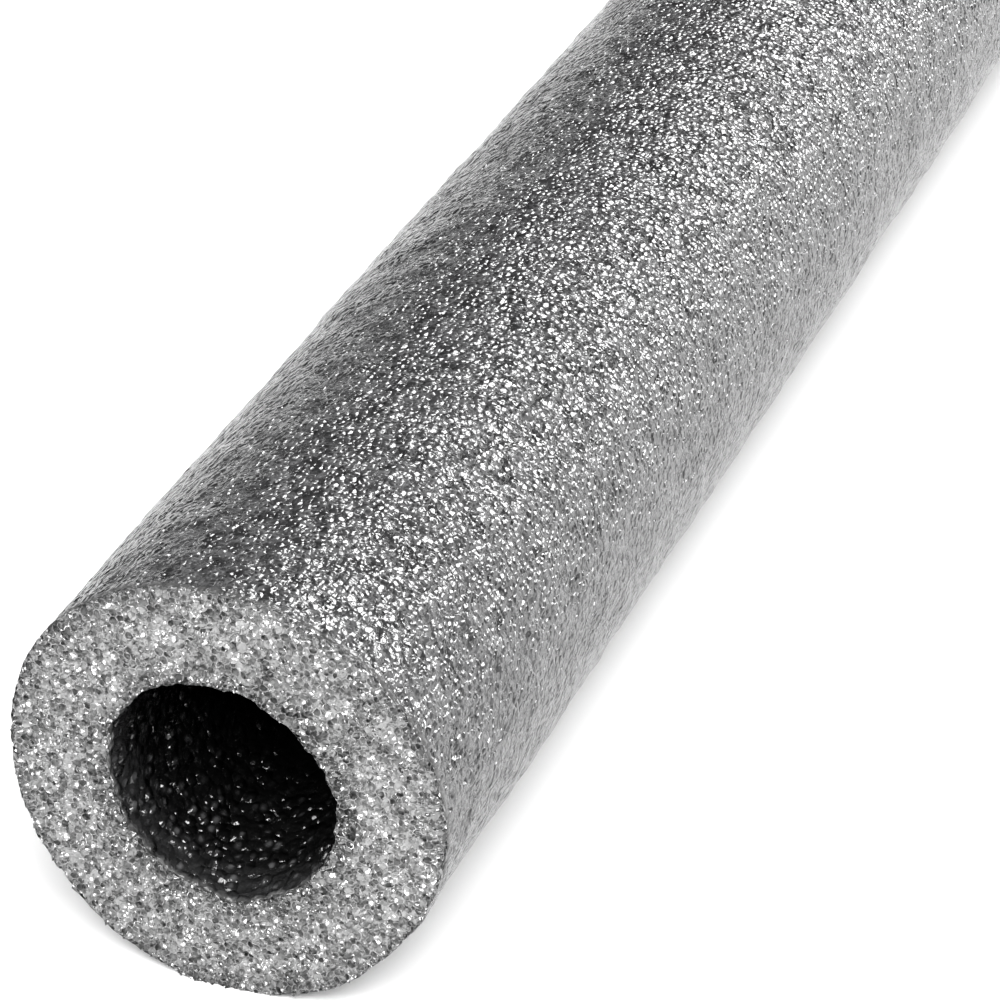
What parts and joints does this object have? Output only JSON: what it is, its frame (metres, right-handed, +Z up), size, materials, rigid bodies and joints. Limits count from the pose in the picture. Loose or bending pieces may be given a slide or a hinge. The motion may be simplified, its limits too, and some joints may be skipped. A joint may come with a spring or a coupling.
{
  "type": "pipe insulation lagging",
  "caption": "Straight foam tube with a round bore that slides over a heating or water pipe to keep its heat in.",
  "frame": {"origin": "on the floor below the middle of the tube, where it lies", "axes": "+X along the tube, from the end shown in the picture to the other, +Z up"},
  "size_m": [1, 0.0538, 0.0539],
  "materials": {
    "foam_skin": "grey closed-cell polyethylene foam, satin pebbled skin as it leaves the die",
    "foam_cut": "the same foam where a knife has opened its cells, paler and full of small glints"
  },
  "bodies": {
    "root": {"lagging_tube": "foam_skin"}
  },
  "joints": []
}
